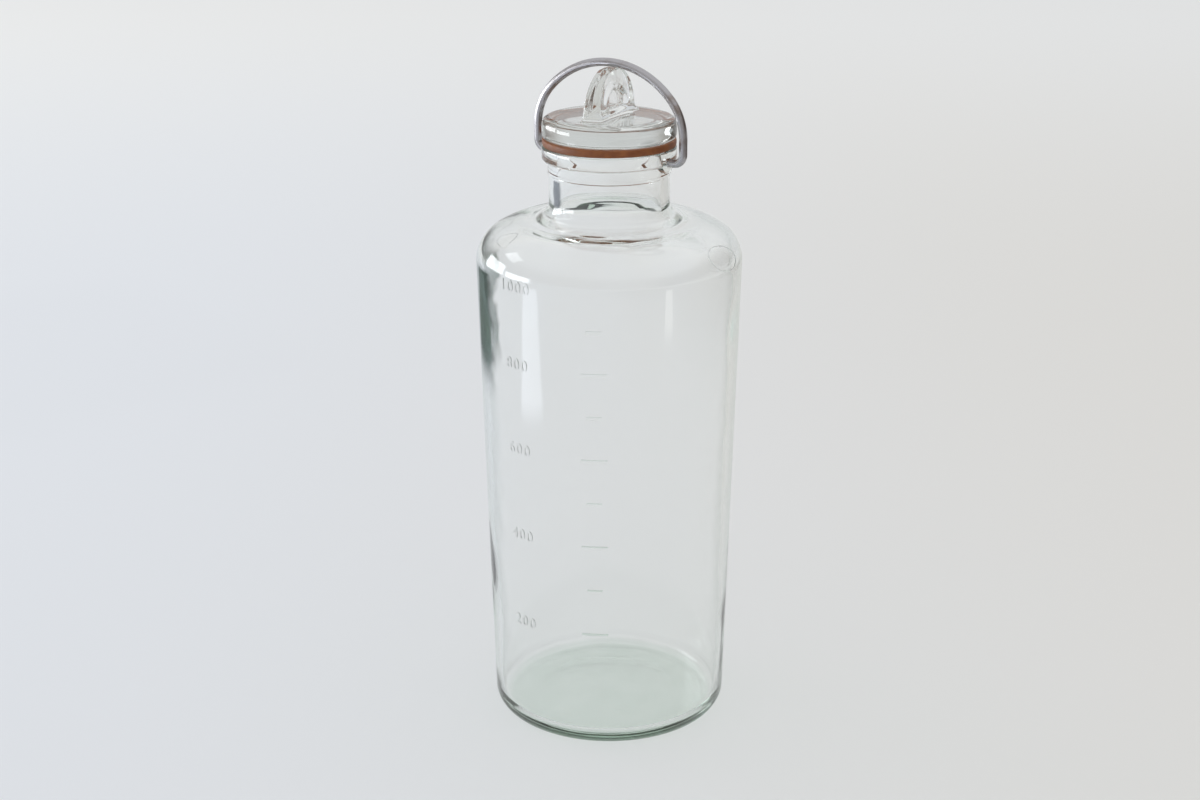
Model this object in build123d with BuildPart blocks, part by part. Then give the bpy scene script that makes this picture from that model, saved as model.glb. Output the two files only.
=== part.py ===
from build123d import *
from math import asin, atan2, cos, degrees, hypot, pi, radians, sin
import os

# Graduated glass bottle with a lid that a swinging wire bail clamps down.
# The bottle stands on Z = 0 with its axis on Z. The bail turns about a line along X.

# Bottle body
foot_radius = 44.2
heel_radius = 7.0
shoulder_radius = 48.6
shoulder_height = 177.5
shoulder_rise_share = 0.73
shoulder_side_share = 0.613
wall = 2.8
floor_thickness = 4.2
floor_dome = 0.6
inner_heel_radius = 5.0
push_up = 1.0
bearing_width = 7.5

# Neck, collar and mouth
neck_radius = 21.9
neck_foot_radius = 5.5
neck_length = 26.6
bore_radius = 18.8
bore_foot_radius = 6.0
finish_step = 0.35
finish_depth = 10.4
collar_radius = 24.4
collar_height = 5.6
collar_round = 1.5
rim_round = 0.8

# Dimples that hold the bail, each in a rounded lug
pivot_depth = 4.2
wire_diameter = 3.0
pin_clearance = 0.25
dimple_depth = 3.2
tip_gap = 0.3
lug_wall = 2.1

# Graduation ticks on the wall. Each step holds a cube of this edge, a hundred millilitres.
tick_cube = 46.4
first_tick_height = 46.8
tick_width = 1.0
tick_relief = 0.4
long_tick = 9.5
short_tick = 5.5
tick_azimuth = 23.5

# Rubber ring between the rim and the lid
ring_thickness = 2.5
ring_inset = 0.2
ring_round = 0.4

# Pressed glass lid
lid_thickness = 7.9
lid_top_round = 2.8
lid_low_round = 1.5
plug_clearance = 1.3
plug_depth = 6.5
plug_dish = 1.4
lid_turn = 7.0

# Fin that the fingers hold and the bail presses on
fin_length = 31.0
fin_height = 17.3
fin_straight = 4.5
fin_foot_thickness = 8.0
fin_crest_thickness = 4.4
fin_root = 1.5
fin_edge_round = 1.3
fin_foot_round = 1.0
fin_sill = 1.3
hollow_depth = 1.8
hollow_reach = 11.0
hollow_width = 17.0

# Wire bail
bail_clearance = 0.3
leg_gap = 4.1
leg_rise = 8.7
peg_bend_radius = 3.5
arch_side_share = 0.84
wire_tip_chamfer = 0.4

# Length by which cuts run past the faces that they open
overrun = 1.0

# Heights and radii that the pieces share
wire_radius = wire_diameter / 2
shoulder_run = shoulder_radius - neck_radius - neck_foot_radius
shoulder_rise = shoulder_run * shoulder_rise_share
shoulder_side_radius = shoulder_run * shoulder_side_share
shoulder_top = shoulder_height + shoulder_rise
mouth_height = shoulder_top + neck_length
collar_base = mouth_height - collar_height
finish_base = mouth_height - finish_depth
pivot_height = mouth_height - pivot_depth
dimple_radius = wire_radius + pin_clearance
dimple_floor = collar_radius - dimple_depth
lug_radius = dimple_radius + lug_wall
lid_base = mouth_height + ring_thickness
lid_top = lid_base + lid_thickness
plug_base = lid_base - plug_depth
plug_radius = bore_radius - plug_clearance
crest_height = lid_top + fin_height

# The wall is the common tangent of the heel round and the shoulder's side round
heel_center = (foot_radius - heel_radius, heel_radius)
side_center = (shoulder_radius - shoulder_side_radius, shoulder_height)
center_run = side_center[0] - heel_center[0]
center_rise = side_center[1] - heel_center[1]
round_growth = shoulder_side_radius - heel_radius
wall_lean = degrees(atan2(center_run, center_rise) + asin(round_growth / hypot(center_run, center_rise)))
lean_cos = cos(radians(wall_lean))
lean_sin = sin(radians(wall_lean))

# The shoulder's crown round meets the side round and ends level at the neck's foot
crown_radius = (shoulder_run**2 + shoulder_rise**2 - 2 * shoulder_run * shoulder_side_radius) / (
    2 * (shoulder_rise - shoulder_side_radius)
)
side_turn = degrees(atan2(crown_radius - shoulder_rise, shoulder_run - shoulder_side_radius))

# Center of the inner heel round, which touches the inner wall and the floor
inner_offset = shoulder_side_radius - wall - inner_heel_radius
inner_heel_height = floor_thickness + inner_heel_radius
inner_slide = (side_center[1] - inner_offset * lean_sin - inner_heel_height) / lean_cos
inner_heel_center_radius = side_center[0] + inner_offset * lean_cos - inner_slide * lean_sin


def wall_radius(height):
    """Outer radius of the straight wall at a height."""
    touch_radius = side_center[0] + shoulder_side_radius * lean_cos
    touch_height = side_center[1] - shoulder_side_radius * lean_sin
    return touch_radius - (touch_height - height) * lean_sin / lean_cos


def radial_plane(azimuth):
    """Upright plane through the axis. Azimuth 0 faces -Y and grows towards +X."""
    turn = radians(azimuth)
    outward = Vector(sin(turn), -cos(turn), 0)
    return Plane(origin=(0, 0, 0), x_dir=outward, z_dir=outward.cross(Vector(0, 0, 1)))


# Lugs that carry the dimples, flush with the collar's side
lug_root = (bore_radius + neck_radius) / 2
lug_top = mouth_height - collar_height / 2
with BuildPart() as lugs:
    for facing in (1, -1):
        with BuildSketch(Plane.YZ.offset(facing * lug_root)):
            with Locations((0, pivot_height)):
                Circle(lug_radius)
        extrude(amount=facing * (collar_radius + overrun - lug_root))
    with BuildSketch(Plane.XY.offset(lug_top)):
        Circle(collar_radius)
    extrude(amount=lug_top - mouth_height - lug_radius, mode=Mode.INTERSECT)

# Bottle
with BuildPart() as bottle:
    with BuildSketch(Plane.XZ):
        with BuildLine():
            bearing = Line((heel_center[0] - bearing_width, 0), (heel_center[0], 0))
            heel = JernArc(bearing @ 1, bearing % 1, heel_radius, 90 - wall_lean)
            side = Line(
                heel @ 1,
                (
                    side_center[0] + shoulder_side_radius * lean_cos,
                    side_center[1] - shoulder_side_radius * lean_sin,
                ),
            )
            shoulder_side = JernArc(side @ 1, side % 1, shoulder_side_radius, wall_lean + side_turn)
            shoulder_crown = JernArc(shoulder_side @ 1, shoulder_side % 1, crown_radius, 90 - side_turn)
            neck_foot = JernArc(shoulder_crown @ 1, shoulder_crown % 1, neck_foot_radius, -90)
            Polyline(
                neck_foot @ 1,
                (neck_radius, finish_base),
                (neck_radius + finish_step, finish_base),
                (neck_radius + finish_step, collar_base),
                (collar_radius, collar_base),
                (collar_radius, mouth_height),
                (0, mouth_height),
                (0, push_up),
            )
            TangentArc((0, push_up), bearing @ 0, tangent=(1, 0))
        make_face()
    revolve(axis=Axis.Z)
    collar_side = bottle.faces().filter_by(GeomType.CYLINDER).sort_by(Axis.Z)[-1]
    fillet(collar_side.edges().filter_by(GeomType.CIRCLE).sort_by(Axis.Z)[0], collar_round)
    fillet(bottle.edges().filter_by(GeomType.CIRCLE).sort_by(Axis.Z)[-1], rim_round)
    # Hollow of the body and the neck
    with BuildSketch(Plane.XZ):
        with BuildLine():
            floor_line = TangentArc(
                (0, floor_thickness + floor_dome), (inner_heel_center_radius, floor_thickness), tangent=(1, 0)
            )
            inner_heel = JernArc(floor_line @ 1, (1, 0), inner_heel_radius, 90 - wall_lean)
            inner_side = Line(
                inner_heel @ 1,
                (
                    side_center[0] + (shoulder_side_radius - wall) * lean_cos,
                    side_center[1] - (shoulder_side_radius - wall) * lean_sin,
                ),
            )
            inner_shoulder = JernArc(
                inner_side @ 1, inner_side % 1, shoulder_side_radius - wall, wall_lean + side_turn
            )
            inner_crown = JernArc(
                inner_shoulder @ 1, inner_shoulder % 1, crown_radius - wall, 90 - side_turn
            )
            bore_foot_start = Line(inner_crown @ 1, (bore_radius + bore_foot_radius, shoulder_top - wall))
            bore_foot = JernArc(bore_foot_start @ 1, (-1, 0), bore_foot_radius, -90)
            Polyline(
                bore_foot @ 1,
                (bore_radius, mouth_height + overrun),
                (0, mouth_height + overrun),
                floor_line @ 0,
            )
        make_face()
    revolve(axis=Axis.Z, mode=Mode.SUBTRACT)
    bore_edge = bottle.edges().filter_by(GeomType.CIRCLE).group_by(Axis.Z)[-1].sort_by(SortBy.RADIUS)[0]
    fillet(bore_edge, rim_round)
    add(lugs.part)
    # Dimples for the ends of the bail
    for facing in (1, -1):
        with BuildSketch(Plane.YZ.offset(facing * dimple_floor)):
            with Locations((0, pivot_height)):
                Circle(dimple_radius)
        extrude(amount=facing * (dimple_depth + overrun), mode=Mode.SUBTRACT)
    # Raised ticks up to the shoulder, every other one long, closer where the hollow is wider
    tick_height = first_tick_height
    tick_length = long_tick
    while tick_height + tick_width < shoulder_height:
        tick_radius = wall_radius(tick_height)
        tick_arc = degrees(tick_length / tick_radius)
        with BuildSketch(radial_plane(tick_azimuth - tick_arc / 2)):
            with Locations((tick_radius, tick_height)):
                Rectangle(2 * tick_relief, tick_width)
        revolve(axis=Axis.Z, revolution_arc=tick_arc)
        tick_height += tick_cube**3 / (pi * (tick_radius - wall) ** 2)
        tick_length = short_tick if tick_length == long_tick else long_tick
bottle.part.label = "bottle"

# Sealing ring
with BuildPart() as sealing_ring:
    with BuildSketch(Plane.XY.offset(mouth_height)):
        Circle(collar_radius - ring_inset)
        Circle(bore_radius + ring_inset, mode=Mode.SUBTRACT)
    extrude(amount=ring_thickness)
    fillet(sealing_ring.edges().filter_by(GeomType.CIRCLE), ring_round)
sealing_ring.part.label = "sealing_ring"

# Fin, an arch from the side and a wedge from the end, hollowed for the fingers
fin_base = lid_top - fin_root
hollow_radius = (hollow_width**2 / 4 + hollow_depth**2) / (2 * hollow_depth)
hollow_lean = degrees(atan2(hollow_depth, hollow_reach)) - degrees(
    atan2((fin_foot_thickness - fin_crest_thickness) / 2, fin_height)
)
across_fin = radial_plane(lid_turn + 90).x_dir
with BuildPart() as fin:
    with BuildSketch(radial_plane(lid_turn)):
        with BuildLine():
            Polyline(
                (-fin_length / 2, lid_top + fin_straight),
                (-fin_length / 2, fin_base),
                (fin_length / 2, fin_base),
                (fin_length / 2, lid_top + fin_straight),
            )
            EllipticalCenterArc(
                (0, lid_top + fin_straight), fin_length / 2, fin_height - fin_straight, arc_size=180
            )
        make_face()
    extrude(amount=fin_foot_thickness, both=True)
    with BuildSketch(radial_plane(lid_turn + 90)):
        with BuildLine():
            Polyline(
                (-fin_foot_thickness / 2, fin_base),
                (fin_foot_thickness / 2, fin_base),
                (fin_crest_thickness / 2, crest_height + fin_root),
                (-fin_crest_thickness / 2, crest_height + fin_root),
                close=True,
            )
        make_face()
    extrude(amount=fin_length, both=True, mode=Mode.INTERSECT)
    fillet(fin.edges() - fin.edges().group_by(Axis.Z)[0], fin_edge_round)

# Finger hollows, deepest at the sill above the fin's foot and fading out upwards
with BuildPart() as hollows:
    for facing in (1, -1):
        outward = across_fin * facing
        hollow_start = outward * (fin_foot_thickness / 2 - hollow_depth + hollow_radius)
        hollow_axis = outward * sin(radians(hollow_lean)) + Vector(0, 0, cos(radians(hollow_lean)))
        with BuildSketch(Plane(origin=hollow_start + Vector(0, 0, lid_top), z_dir=hollow_axis)):
            Circle(hollow_radius)
        extrude(amount=fin_height, both=True)
    split(bisect_by=Plane.XY.offset(lid_top + fin_sill), keep=Keep.TOP)

# Lid
with BuildPart() as lid:
    with BuildSketch(Plane.XZ) as lid_section:
        with BuildLine():
            dish = TangentArc((0, plug_base + plug_dish), (plug_radius, plug_base), tangent=(1, 0))
            Polyline(
                dish @ 1,
                (plug_radius, lid_base),
                (collar_radius, lid_base),
                (collar_radius, lid_top),
                (0, lid_top),
                dish @ 0,
            )
        make_face()
        fillet(lid_section.vertices().group_by(Axis.X)[-1].sort_by(Axis.Y)[-1], lid_top_round)
        fillet(lid_section.vertices().group_by(Axis.X)[-1].sort_by(Axis.Y)[0], lid_low_round)
    revolve(axis=Axis.Z)
    add(fin.part)
    top_face = lid.faces().filter_by(Axis.Z).sort_by(SortBy.AREA)[-1]
    fillet(top_face.inner_wires()[0].edges(), fin_foot_round)
    add(hollows.part, mode=Mode.SUBTRACT)
lid.part.label = "lid"

# Bail, from one peg over the arch to the other
leg_reach = collar_radius + leg_gap + wire_radius
peg_tip = dimple_floor + tip_gap
arch_base = pivot_height + leg_rise
arch_rise = crest_height + bail_clearance + wire_radius - arch_base
arch_side_radius = arch_rise * arch_side_share
arch_crown_radius = (leg_reach**2 + arch_rise**2 - 2 * leg_reach * arch_side_radius) / (
    2 * (arch_rise - arch_side_radius)
)
arch_side_turn = degrees(atan2(arch_crown_radius - arch_rise, leg_reach - arch_side_radius))
with BuildPart() as bail:
    with BuildLine(Plane.XZ) as bail_path:
        peg = Line((peg_tip, pivot_height), (leg_reach - peg_bend_radius, pivot_height))
        peg_bend = JernArc(peg @ 1, peg % 1, peg_bend_radius, 90)
        leg = Line(peg_bend @ 1, (leg_reach, arch_base))
        arch_side = JernArc(leg @ 1, leg % 1, arch_side_radius, arch_side_turn)
        JernArc(arch_side @ 1, arch_side % 1, arch_crown_radius, 90 - arch_side_turn)
        mirror(about=Plane.YZ)
    with BuildSketch(Plane.YZ.offset(peg_tip)):
        with Locations((0, pivot_height)):
            Circle(wire_radius)
    sweep(path=bail_path.wire())
    tip_faces = bail.faces().filter_by(GeomType.PLANE)
    chamfer(tip_faces.edges(), wire_tip_chamfer)
bail.part.label = "bail"

os.makedirs("parts", exist_ok=True)
export_step(bottle.part, "parts/bottle.step")
export_step(sealing_ring.part, "parts/sealing_ring.step")
export_step(lid.part, "parts/lid.step")
export_step(bail.part, "parts/bail.step")
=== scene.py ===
"""Looks of a graduated glass bottle whose lid a swinging wire bail holds down. Lengths are in metres."""

import logging
from dataclasses import dataclass
from enum import Enum
from math import asin, atan2, cos, hypot, pi, radians, sin, sqrt, tau

import bmesh
import bpy
from bmesh.types import BMEdge, BMesh, BMFace, BMVert
from bpy.types import ID, Material, Mesh, Node, NodeSocket, NodeTree, Object
from mathutils import Matrix, Vector, noise


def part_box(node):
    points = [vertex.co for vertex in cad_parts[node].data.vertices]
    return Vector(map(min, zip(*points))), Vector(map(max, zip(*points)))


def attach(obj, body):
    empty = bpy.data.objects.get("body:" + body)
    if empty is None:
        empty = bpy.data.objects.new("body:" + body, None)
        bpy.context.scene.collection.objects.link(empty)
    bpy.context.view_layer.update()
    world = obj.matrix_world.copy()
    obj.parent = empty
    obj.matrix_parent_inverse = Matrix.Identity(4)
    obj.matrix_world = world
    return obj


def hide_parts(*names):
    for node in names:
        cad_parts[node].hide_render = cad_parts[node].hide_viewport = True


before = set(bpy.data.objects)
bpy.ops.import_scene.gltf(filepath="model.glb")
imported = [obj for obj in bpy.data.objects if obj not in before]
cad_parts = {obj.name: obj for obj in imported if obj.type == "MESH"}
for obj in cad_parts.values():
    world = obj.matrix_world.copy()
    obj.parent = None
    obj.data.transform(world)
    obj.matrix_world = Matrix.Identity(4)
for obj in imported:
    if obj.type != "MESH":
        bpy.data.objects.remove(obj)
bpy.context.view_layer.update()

LOG = logging.getLogger("bottle_scene")
MERGE_GAP = 1e-7
UP = Vector((0, 0, 1))

Color = tuple[float, float, float]
Span = tuple[float, float]


class Body(Enum):
    """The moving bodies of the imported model."""

    JAR = "jar"
    BAIL = "bail"


class Slot(Enum):
    """The record's material slots."""

    BOTTLE = "bottle_glass"
    RING = "ring_rubber"
    LID = "lid_glass"
    BAIL = "bail_steel"


class Joining(Enum):
    """How one closed mesh changes another."""

    ADD = "UNION"
    CUT = "DIFFERENCE"


class Tick(Enum):
    """The lengths of a graduation."""

    LONG = 0.0095
    SHORT = 0.0055


def outward(azimuth: float) -> Vector:
    """Level direction at an azimuth in degrees, where 0 faces -Y and 90 faces +X."""
    return Vector((sin(radians(azimuth)), -cos(radians(azimuth)), 0))


def smooth_step(low: float, high: float, value: float) -> float:
    """Ease from 0 at low to 1 at high.

    Args:
        low: Value at which the step starts.
        high: Value at which the step ends.
        value: Value to read the step at.

    Returns:
        The height of the step, from 0 to 1.
    """
    share = min(1.0, max(0.0, (value - low) / (high - low)))
    return share * share * (3 - 2 * share)


def of_kind(made: list, kind: type) -> list:
    """Elements of one kind among the vertices, edges and faces that an operator made."""
    return [item for item in made if isinstance(item, kind)]


def rotate(shape: BMesh, verts: list[BMVert], angle: float, axis: str) -> None:
    """Turn vertices by an angle in radians about an axis through the origin."""
    bmesh.ops.rotate(shape, verts=verts, cent=(0, 0, 0), matrix=Matrix.Rotation(angle, 3, axis))


class Outline:
    """A half section in the XZ plane, drawn by one vertex that is extruded and spun."""

    def __init__(self, x: float, z: float) -> None:
        """Put the drawing vertex down at a radius and a height."""
        self.mesh = bmesh.new()
        self.tip = self.mesh.verts.new((x, 0, z))

    def line(self, x: float, z: float, pieces: int = 1) -> None:
        """Draw straight to a radius and a height.

        Args:
            x: Radius of the line's end.
            z: Height of the line's end.
            pieces: Number of equal edges along the line.
        """
        step = (Vector((x, 0, z)) - self.tip.co) / pieces
        for _ in range(pieces):
            self.tip = bmesh.ops.extrude_vert_indiv(self.mesh, verts=[self.tip])["verts"][0]
            bmesh.ops.translate(self.mesh, verts=[self.tip], vec=step)

    def arc(self, x: float, z: float, turn: float, pieces: int) -> None:
        """Swing about a centre.

        Args:
            x: Radius of the arc's centre.
            z: Height of the arc's centre.
            turn: Angle in degrees, counter-clockwise with X to the right and Z up.
            pieces: Number of equal edges along the arc.
        """
        made = bmesh.ops.spin(
            self.mesh, geom=[self.tip], cent=(x, 0, z), axis=(0, -1, 0), angle=radians(turn), steps=pieces
        )
        self.tip = of_kind(made["geom_last"], BMVert)[0]

    def bow(self, x: float, z: float, rise: float, pieces: int) -> None:
        """Draw a shallow arc to a point.

        Args:
            x: Radius of the arc's end.
            z: Height of the arc's end.
            rise: Height of the arc over its chord, positive to the left of the way drawn.
            pieces: Number of equal edges along the arc.
        """
        start, end = self.tip.co.copy(), Vector((x, 0, z))
        chord = end - start
        half = chord.length / 2
        radius = (half * half + rise * rise) / (2 * abs(rise))
        left = Vector((-chord.z, 0, chord.x)).normalized()
        side = 1 if rise > 0 else -1
        centre = (start + end) / 2 - left * side * (radius - abs(rise))
        turn = 2 * asin(half / radius) * 180 / pi
        self.arc(centre.x, centre.z, -side * turn, pieces)

    def soften(self, low: float, high: float, reach: float, rounds: int) -> None:
        """Blend the bends of one stretch into each other.

        Args:
            low: Lowest height of the stretch.
            high: Greatest height of the stretch.
            reach: Greatest radius of the stretch.
            rounds: How often each point moves towards the middle of its neighbours.
        """
        stretch = [vert for vert in self.mesh.verts if low < vert.co.z < high and vert.co.x < reach]
        for _ in range(rounds):
            bmesh.ops.smooth_vert(self.mesh, verts=stretch, factor=0.5, use_axis_x=True, use_axis_z=True)

    def turned(self, steps: int) -> BMesh:
        """Turn the outline about Z into a closed body.

        Args:
            steps: Number of segments around the axis.

        Returns:
            The mesh, with its poles merged and its faces outwards.
        """
        drawn = self.mesh.verts[:] + self.mesh.edges[:]
        bmesh.ops.spin(
            self.mesh, geom=drawn, cent=(0, 0, 0), axis=UP, angle=tau, steps=steps, use_merge=True
        )
        bmesh.ops.remove_doubles(self.mesh, verts=self.mesh.verts, dist=MERGE_GAP)
        bmesh.ops.recalc_face_normals(self.mesh, faces=self.mesh.faces)
        return self.mesh


def to_mesh(name: str, shape: BMesh, crease: float = 35.0) -> Mesh:
    """Write a bmesh to a smooth-shaded mesh and free it.

    Args:
        name: Name of the mesh.
        shape: The bmesh to write.
        crease: Angle in degrees past which an edge stays sharp.

    Returns:
        The finished mesh.
    """
    mesh = bpy.data.meshes.new(name)
    shape.to_mesh(mesh)
    shape.free()
    shade(mesh, crease)
    return mesh


def shade(mesh: Mesh, crease: float) -> None:
    """Shade a mesh smooth, with edges sharper than an angle in degrees kept sharp."""
    mesh.shade_smooth()
    mesh.set_sharp_from_angle(angle=radians(crease))


def loose_object(name: str, data: ID) -> Object:
    """Put data into the scene as a new object at the origin."""
    made = bpy.data.objects.new(name, data)
    bpy.context.scene.collection.objects.link(made)
    return made


def baked_mesh(source: Object) -> Mesh:
    """Mesh of an object as its modifiers leave it, with the object itself taken away."""
    bpy.context.view_layer.update()
    mesh = bpy.data.meshes.new_from_object(source.evaluated_get(bpy.context.evaluated_depsgraph_get()))
    bpy.data.objects.remove(source)
    return mesh


def joined(base: Mesh, other: Mesh, joining: Joining) -> Mesh:
    """Add one closed mesh to another, or cut it away.

    Args:
        base: The mesh that is changed.
        other: The mesh that is added or cut away.
        joining: Which of the two is done.

    Returns:
        A new closed mesh.
    """
    body, tool = loose_object("joining_body", base), loose_object("joining_tool", other)
    change = body.modifiers.new("joining", "BOOLEAN")
    change.operation, change.solver, change.object = joining.value, "EXACT", tool
    done = baked_mesh(body)
    bpy.data.objects.remove(tool)
    for used in (base, other):
        bpy.data.meshes.remove(used)
    return done


def dressed_piece(
    name: str, mesh: Mesh, material: Material, body: Body, node: str
) -> Object:
    """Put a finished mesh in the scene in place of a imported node.

    Args:
        name: Name of the piece.
        mesh: Its finished mesh.
        material: Its finish.
        body: The body that it moves with.
        node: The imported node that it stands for.

    Returns:
        The piece.
    """
    mesh.name = name
    mesh.materials.clear()
    mesh.materials.append(material)
    piece = loose_object(name, mesh)
    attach(piece, body.value)
    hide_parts(node)
    LOG.info("%s: %d faces on body %s", name, len(mesh.polygons), body.value)
    return piece


class Wiring:
    """Adds and links the nodes of one node tree."""

    def __init__(self, tree: NodeTree) -> None:
        """Take over a node tree and empty it."""
        self.tree = tree
        tree.nodes.clear()

    def add(self, kind: str, **settings: object) -> Node:
        """Add a node.

        Args:
            kind: Blender's name of the node's type.
            settings: Properties of the node, such as its operation.

        Returns:
            The new node.
        """
        made = self.tree.nodes.new(kind)
        for key, value in settings.items():
            setattr(made, key, value)
        return made

    def put(self, node: Node, values: dict[str | int, object]) -> None:
        """Fill a node's inputs, each by its name or place, with a socket or a plain value."""
        for label, value in values.items():
            if isinstance(value, NodeSocket):
                self.tree.links.new(value, node.inputs[label])
            else:
                node.inputs[label].default_value = value

    def read(self, coordinates: str) -> None:
        """Choose the coordinates that distances and patches go by, such as Object."""
        self.place = self.add("ShaderNodeTexCoord").outputs[coordinates]

    def mixed(self, share: NodeSocket, first: NodeSocket | Color, second: Color) -> NodeSocket:
        """Colour that goes from first to second as a share goes from 0 to 1."""
        made = self.add("ShaderNodeMix", data_type="RGBA")
        start = first if isinstance(first, NodeSocket) else (*first, 1)
        self.put(made, {"Factor": share, "A": start, "B": (*second, 1)})
        return made.outputs["Result"]

    def along(self, way: Vector) -> NodeSocket:
        """Distance from the origin along a direction."""
        made = self.add("ShaderNodeVectorMath", operation="DOT_PRODUCT")
        self.put(made, {0: self.place, 1: way})
        return made.outputs["Value"]

    def between(self, mask: NodeSocket, low: float, high: float) -> NodeSocket:
        """Value that goes from low to high as a mask goes from 0 to 1."""
        made = self.add("ShaderNodeMapRange")
        self.put(made, {"Value": mask, "To Min": low, "To Max": high})
        return made.outputs["Result"]

    def eased(self, value: NodeSocket, low: float, high: float) -> NodeSocket:
        """Mask that eases from 0 where a value is low to 1 where it is high."""
        made = self.add("ShaderNodeMapRange", interpolation_type="SMOOTHSTEP")
        self.put(made, {"Value": value, "From Min": low, "From Max": high})
        return made.outputs["Result"]

    def math(self, operation: str, *values: NodeSocket | float) -> NodeSocket:
        """Result of a sum, by Blender's name of it, on sockets and plain numbers in order."""
        made = self.add("ShaderNodeMath", operation=operation)
        self.put(made, dict(enumerate(values)))
        return made.outputs["Value"]

    def both(self, *masks: NodeSocket) -> NodeSocket:
        """Mask that is full only where all the given ones are."""
        product = masks[0]
        for mask in masks[1:]:
            product = self.math("MULTIPLY", product, mask)
        return product


def mottle_group() -> NodeTree:
    """Node group of soft uneven patches that several finishes use, built once.

    Returns:
        A group with the inputs Place, Scale, Detail, Low and High and the outputs Mask and Fine.
    """
    name = "soft_mottle"
    if name in bpy.data.node_groups:
        return bpy.data.node_groups[name]
    group = bpy.data.node_groups.new(name, "ShaderNodeTree")
    wiring = Wiring(group)
    group.interface.new_socket("Place", in_out="INPUT", socket_type="NodeSocketVector")
    for label, value in (("Scale", 60.0), ("Detail", 3.0), ("Low", 0.4), ("High", 0.65)):
        socket = group.interface.new_socket(label, in_out="INPUT", socket_type="NodeSocketFloat")
        socket.default_value = value
    for label in ("Mask", "Fine"):
        group.interface.new_socket(label, in_out="OUTPUT", socket_type="NodeSocketFloat")
    inputs = wiring.add("NodeGroupInput")
    outputs = wiring.add("NodeGroupOutput")
    patches = wiring.add("ShaderNodeTexNoise")
    ramp = wiring.add("ShaderNodeMapRange", interpolation_type="SMOOTHSTEP")
    given, fine = inputs.outputs, patches.outputs["Fac"]
    wiring.put(patches, {"Vector": given["Place"], "Scale": given["Scale"], "Detail": given["Detail"]})
    wiring.put(ramp, {"Value": fine, "From Min": given["Low"], "From Max": given["High"]})
    wiring.put(outputs, {"Mask": ramp.outputs["Result"], "Fine": fine})
    return group


class FinishWiring(Wiring):
    """The nodes of one finish: a Principled shader on Object coordinates."""

    def __init__(self, name: str) -> None:
        """Start a material with its output, its shader and its coordinates."""
        self.material = bpy.data.materials.new(name)
        self.material.use_nodes = True
        super().__init__(self.material.node_tree)
        self.output = self.add("ShaderNodeOutputMaterial")
        self.shader = self.add("ShaderNodeBsdfPrincipled")
        self.read("Object")

    def mottle(
        self,
        scale: float,
        detail: float,
        low: float,
        high: float,
        place: NodeSocket | None = None,
    ) -> Node:
        """Place the mottle group.

        Args:
            scale: Patches per metre, roughly.
            detail: Octaves of finer patches.
            low: Noise value at which the mask starts.
            high: Noise value at which the mask is full.
            place: Coordinates to read, or None for Object coordinates.

        Returns:
            The group's node.
        """
        made = self.add("ShaderNodeGroup", node_tree=mottle_group())
        self.put(made, {"Place": place or self.place, "Scale": scale, "Detail": detail})
        self.put(made, {"Low": low, "High": high})
        return made

    def bump(self, height: NodeSocket, distance: float) -> None:
        """Bend the shader's normals by a height, with the distance that its full range stands for."""
        made = self.add("ShaderNodeBump")
        self.put(made, {"Strength": 1, "Distance": distance, "Height": height})
        self.put(self.shader, {"Normal": made.outputs["Normal"]})

    def either(self, share: NodeSocket, first: Node, second: Node) -> NodeSocket:
        """Surface that goes from the first shader to the second as a share goes from 0 to 1."""
        made = self.add("ShaderNodeMixShader")
        self.put(made, {"Fac": share, 1: first.outputs["BSDF"], 2: second.outputs["BSDF"]})
        return made.outputs["Shader"]

    def finished(self, surface: NodeSocket | None = None) -> Material:
        """Material with a surface, or else the plain shader, at its output."""
        self.put(self.output, {"Surface": surface or self.shader.outputs["BSDF"]})
        return self.material


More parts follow.
